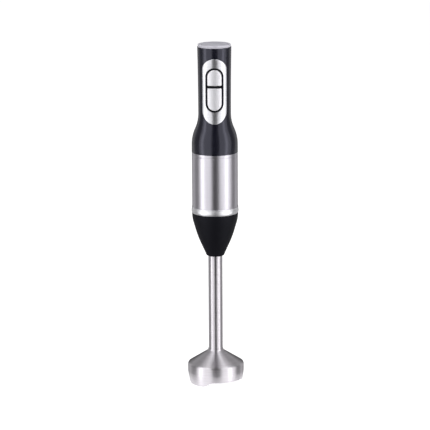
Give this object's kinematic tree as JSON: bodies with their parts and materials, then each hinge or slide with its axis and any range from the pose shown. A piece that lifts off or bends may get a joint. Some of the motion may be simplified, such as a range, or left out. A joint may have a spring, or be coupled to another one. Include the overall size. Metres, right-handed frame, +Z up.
{
  "type": "immersion blender",
  "caption": "Hand-held stick blender: black handle with silver push buttons, brushed steel motor sleeve, twist-off leg and a bell guard over a spinning blade.",
  "frame": {"origin": "on the drive axis at the middle of the grip, where the hand holds it", "axes": "+Z up along the drive axis, from the blade to the top cap; the buttons face -Y"},
  "size_m": [0.065, 0.065, 0.3996],
  "materials": {
    "cap_grey": "smooth, satin",
    "gloss_black": "polished moulding",
    "matte_black": "fine spark texture",
    "silver_plate": "satin plated, brushed across",
    "button_satin": "pearl plated, matt",
    "trim_chrome": "polished",
    "brushed_sleeve": "brushed round the axis",
    "brushed_leg": "finely brushed, near polished",
    "blade_steel": "ground",
    "machined_steel": "turned",
    "coupler_nylon": "moulded nylon",
    "seal_rubber": "matt",
    "bearing_bronze": "sintered",
    "motor_steel": "plain drawn steel",
    "copper": "enamelled winding",
    "magnet_ferrite": "ferrite",
    "brush_carbon": "pressed carbon",
    "board_green": "solder mask",
    "component_dark": "moulded resin",
    "component_yellow": "moulded box",
    "lead_insulation": "soft PVC"
  },
  "bodies": {
    "motor_unit": {"top_cap": "cap_grey", "handle_front_shell": "gloss_black", "handle_rear_shell": "gloss_black", "shell_screws": "machined_steel", "button_bezel": "silver_plate", "button_frame": "matte_black", "speed_spring": "machined_steel", "turbo_spring": "machined_steel", "speed_switch": "matte_black", "turbo_switch": "matte_black", "switch_board": "board_green", "capacitor": "component_yellow", "rectifier": "component_dark", "choke": "magnet_ferrite", "cord_gland": "seal_rubber", "motor_leads": "lead_insulation", "motor_sleeve": "brushed_sleeve", "trim_ring": "trim_chrome", "leg_socket": "matte_black", "motor_carrier": "matte_black", "carrier_screws": "machined_steel", "lower_damper": "seal_rubber", "upper_damper": "seal_rubber", "motor_can": "motor_steel", "magnets": "magnet_ferrite", "front_bearing": "bearing_bronze", "rear_bearing": "bearing_bronze", "motor_end_cap": "matte_black", "carbon_brushes": "brush_carbon", "brush_springs": "machined_steel"},
    "speed_key": {"speed_button": "button_satin", "speed_plunger": "coupler_nylon"},
    "turbo_key": {"turbo_button": "button_satin", "turbo_plunger": "coupler_nylon"},
    "rotor": {"motor_shaft": "machined_steel", "armature_core": "motor_steel", "armature_windings": "copper", "commutator": "copper", "cooling_fan": "coupler_nylon", "drive_coupler": "coupler_nylon"},
    "leg": {"leg_collar": "matte_black", "leg_seal_ring": "seal_rubber", "leg_tube": "brushed_leg", "bell_guard": "brushed_leg", "upper_bush": "bearing_bronze", "lower_bush": "bearing_bronze", "shaft_seal": "seal_rubber", "seal_cap": "brushed_leg"},
    "blade_shaft": {"driven_coupler": "coupler_nylon", "drive_shaft": "machined_steel", "retaining_ring": "machined_steel", "thrust_washer": "machined_steel", "blade": "blade_steel", "blade_nut": "blade_steel"}
  },
  "joints": [
    {"name": "leg_twist", "type": "hinge", "parent": "motor_unit", "child": "leg", "pos_m": [0, 0, -0.1383], "axis": [0, 0, 1], "range_deg": [0, 30]},
    {"name": "rotor_spin", "type": "hinge", "parent": "motor_unit", "child": "rotor", "pos_m": [0, 0, -0.1], "axis": [0, 0, 1], "continuous": true},
    {"name": "blade_spin", "type": "hinge", "parent": "leg", "child": "blade_shaft", "pos_m": [0, 0, -0.245], "axis": [0, 0, 1], "continuous": true},
    {"name": "speed_press", "type": "slide", "parent": "motor_unit", "child": "speed_key", "axis": [0, 1, 0], "range_m": [0, 0.0015], "stiffness_N_per_m": 600, "springref_m": -0.0015, "deforming": ["speed_spring"]},
    {"name": "turbo_press", "type": "slide", "parent": "motor_unit", "child": "turbo_key", "axis": [0, 1, 0], "range_m": [0, 0.0015], "stiffness_N_per_m": 600, "springref_m": -0.0015, "deforming": ["turbo_spring"]}
  ],
  "couplings": [
    {"joint": "blade_spin", "follows": "rotor_spin", "ratio": 1}
  ]
}
